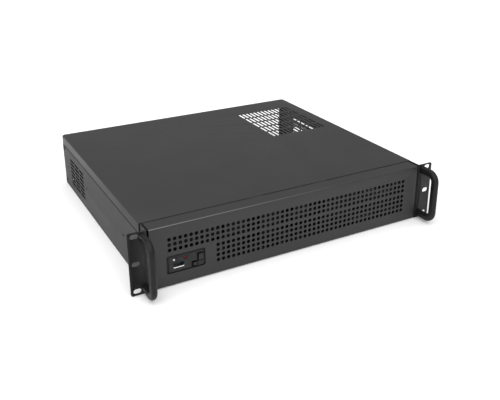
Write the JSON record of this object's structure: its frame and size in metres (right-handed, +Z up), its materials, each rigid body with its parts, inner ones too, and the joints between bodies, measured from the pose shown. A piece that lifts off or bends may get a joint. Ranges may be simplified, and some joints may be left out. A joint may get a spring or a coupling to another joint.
{
  "type": "rackmount server case",
  "caption": "Low rackmount server case, empty, with a perforated front bezel, bowed front handles, rack ears, a sliding top cover, cooling fans, a drive cage and a rear connector wall.",
  "frame": {"origin": "middle of the case's outline seen from above, on the surface that its floor rests on", "axes": "+X to the right seen from the front, +Y to the rear, +Z up"},
  "size_m": [0.4826, 0.4376, 0.088],
  "materials": {
    "black_steel": "smooth powder coat, semi-gloss black",
    "handle_black": "satin black enamel",
    "plated_steel": "zinc-plated sheet",
    "screw_plated": "zinc-plated, satin",
    "screw_black": "black oxide",
    "panel_plastic": "fine-textured moulding",
    "key_plastic": "satin moulding",
    "fan_frame": "glass-filled moulding",
    "fan_rotor": "satin moulding",
    "lamp_white": "clear lens over a white lamp",
    "lamp_red": "dark red tinted lens, unlit",
    "socket_shell": "nickel-plated drawn steel",
    "socket_tongue": "blue moulding",
    "board": "black solder mask",
    "switch": "moulded body",
    "brass": "plain turned brass"
  },
  "bodies": {
    "case": {"chassis_tray": "black_steel", "rear_panel": "black_steel", "io_panel": "black_steel", "slot_cover_1": "black_steel", "slot_cover_2": "black_steel", "slot_cover_3": "black_steel", "slot_cover_4": "black_steel", "slot_screws": "screw_plated", "side_screws": "screw_black", "front_bezel": "black_steel", "bezel_screws": "screw_plated", "left_ear": "black_steel", "right_ear": "black_steel", "ear_screws": "screw_plated", "left_handle": "handle_black", "right_handle": "handle_black", "handle_screws": "screw_plated", "control_panel": "panel_plastic", "power_switch": "switch", "reset_switch": "switch", "power_led": "lamp_white", "activity_led": "lamp_red", "usb_shell": "socket_shell", "usb_tongue": "socket_tongue", "control_board": "board", "board_screws": "screw_plated", "panel_screws": "screw_plated", "fan_frame_left": "fan_frame", "fan_frame_right": "fan_frame", "fan_screws": "screw_plated", "drive_cage": "plated_steel", "cage_screws": "screw_plated", "cross_brace": "plated_steel", "brace_screws": "screw_plated", "board_standoffs": "brass"},
    "cover": {"top_cover": "black_steel", "cover_screws": "screw_black"},
    "power_key": {"power_button": "key_plastic"},
    "reset_key": {"reset_button": "key_plastic"},
    "left_rotor": {"fan_rotor_left": "fan_rotor"},
    "right_rotor": {"fan_rotor_right": "fan_rotor"}
  },
  "joints": [
    {"name": "cover_slide", "type": "slide", "parent": "case", "child": "cover", "axis": [0, 1, 0], "range_m": [0, 0.41]},
    {"name": "power_press", "type": "slide", "parent": "case", "child": "power_key", "axis": [0, 1, 0], "range_m": [0, 0.0015], "stiffness_N_per_m": 600},
    {"name": "reset_press", "type": "slide", "parent": "case", "child": "reset_key", "axis": [0, 1, 0], "range_m": [0, 0.0015], "stiffness_N_per_m": 600},
    {"name": "left_fan_spin", "type": "hinge", "parent": "case", "child": "left_rotor", "pos_m": [-0.08, -0.14725, 0.0436], "axis": [0, 1, 0], "continuous": true},
    {"name": "right_fan_spin", "type": "hinge", "parent": "case", "child": "right_rotor", "pos_m": [0.025, -0.14725, 0.0436], "axis": [0, 1, 0], "continuous": true}
  ]
}
